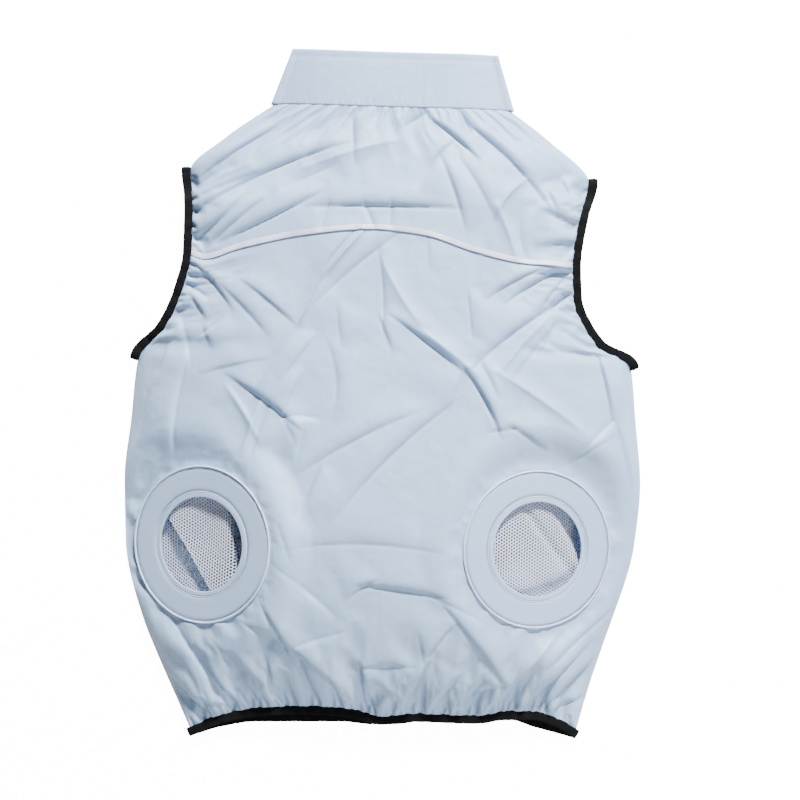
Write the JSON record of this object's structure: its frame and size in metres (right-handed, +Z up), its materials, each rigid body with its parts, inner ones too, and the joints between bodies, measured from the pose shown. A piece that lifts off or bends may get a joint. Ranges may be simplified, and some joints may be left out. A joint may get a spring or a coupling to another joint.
{
  "type": "cooling vest",
  "caption": "Sleeveless fan-cooling vest lying on its front: stand collar, yoke seam tape, two round fan ports with net lining, elastic-bound armholes and hem.",
  "frame": {"origin": "under the middle of the vest's box, on the surface that it lies on", "axes": "+Y from the hem to the collar, +X to the right of someone looking down on the back, +Z up from the surface"},
  "size_m": [0.5489, 0.7343, 0.0797],
  "materials": {
    "ice_nylon": "thin crisp nylon taffeta with a soft sheen, pale ice blue",
    "ring_nylon": "the same nylon, doubled and stiffened",
    "reflective_tape": "silvery reflective tape",
    "black_elastic": "matt black ribbed elastic",
    "net_white": "white knitted net with small round holes",
    "seam_cord": "stitched seam cord, pale grey blue",
    "zip_grey": "grey zip tape"
  },
  "bodies": {
    "root": {"back_body": "ice_nylon", "back_yoke": "ice_nylon", "front_left": "ice_nylon", "front_right": "ice_nylon", "collar": "ice_nylon", "yoke_piping": "reflective_tape", "front_zip": "zip_grey", "armhole_binding_left": "black_elastic", "armhole_binding_right": "black_elastic", "hem_binding": "black_elastic", "fan_ring_left": "ring_nylon", "port_flange_left": "ring_nylon", "fan_ring_right": "ring_nylon", "port_flange_right": "ring_nylon", "ring_edge_cord_left": "seam_cord", "ring_edge_cord_right": "seam_cord", "hole_edge_cord_left": "seam_cord", "hole_edge_cord_right": "seam_cord", "net_lining_left": "net_white", "net_lining_right": "net_white"}
  },
  "joints": []
}
